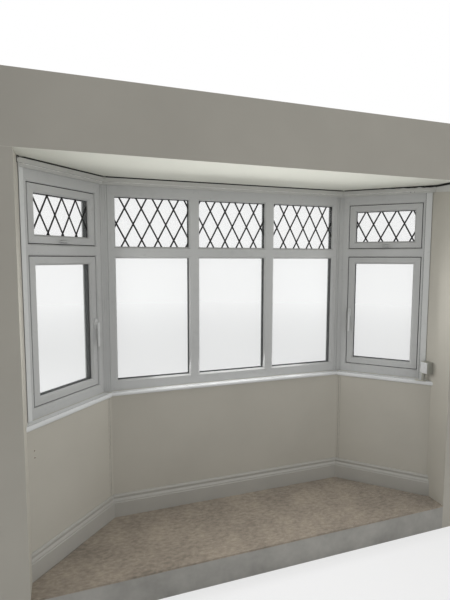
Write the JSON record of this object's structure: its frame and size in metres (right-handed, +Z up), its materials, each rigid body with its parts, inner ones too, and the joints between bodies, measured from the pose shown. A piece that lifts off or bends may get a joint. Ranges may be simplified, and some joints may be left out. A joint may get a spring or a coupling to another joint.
{
  "type": "bay_window",
  "caption": "Splayed bay window of a house with white frames, diamond leaded top lights, window board, skirting, dwarf walls and a flat roof, set in its strip of house wall",
  "frame": {"origin": "on the ground under the middle of the bay, in the plane of the house wall's outer face", "axes": "+X to the right seen from the room, +Y out of the house, +Z up"},
  "size_m": [3.0282, 0.8811, 2.652],
  "materials": {
    "concrete": "floated concrete slab",
    "carpet": "short cut-pile carpet, trodden",
    "brick": "brickwork in mortar",
    "wall_paint": "matt emulsion on plaster",
    "ceiling_paint": "matt emulsion on plasterboard",
    "timber": "sawn softwood",
    "lead_sheet": "weathered sheet roof covering",
    "gloss_paint": "white gloss paint on wood",
    "upvc": "white extruded window profile",
    "glass": "clear float glass",
    "spacer_bar": "black anodised spacer bar",
    "gasket": "black extruded gasket",
    "lead_strip": "dull lead strip",
    "handle_coat": "white powder coat",
    "box_plastic": "white moulded plastic"
  },
  "bodies": {
    "root": {"floor_slab": "concrete", "carpet": "carpet", "wall_front": "brick", "wall_left": "brick", "wall_right": "brick", "wall_plaster": "wall_paint", "pier_left": "wall_paint", "pier_right": "wall_paint", "header_wall": "wall_paint", "bay_ceiling": "ceiling_paint", "head_front": "timber", "head_left": "timber", "head_right": "timber", "roof_deck": "timber", "roof_covering": "lead_sheet", "eaves": "gloss_paint", "window_board_front": "gloss_paint", "window_board_left": "gloss_paint", "window_board_right": "gloss_paint", "skirting": "gloss_paint", "head_trim": "upvc", "jamb_trim": "upvc", "frame_front": "upvc", "frame_left": "upvc", "frame_right": "upvc", "bay_post_left": "upvc", "bay_post_right": "upvc", "casement_left": "upvc", "casement_right": "upvc", "fanlight_left": "upvc", "fanlight_right": "upvc", "beads": "upvc", "glass_front": "glass", "glass_left": "glass", "glass_right": "glass", "spacers": "spacer_bar", "gaskets": "gasket", "leads": "lead_strip", "handle_left": "handle_coat", "handle_right": "handle_coat", "fanlight_catches": "handle_coat", "junction_box": "box_plastic", "cill_front": "upvc", "cill_left": "upvc", "cill_right": "upvc"}
  },
  "joints": []
}
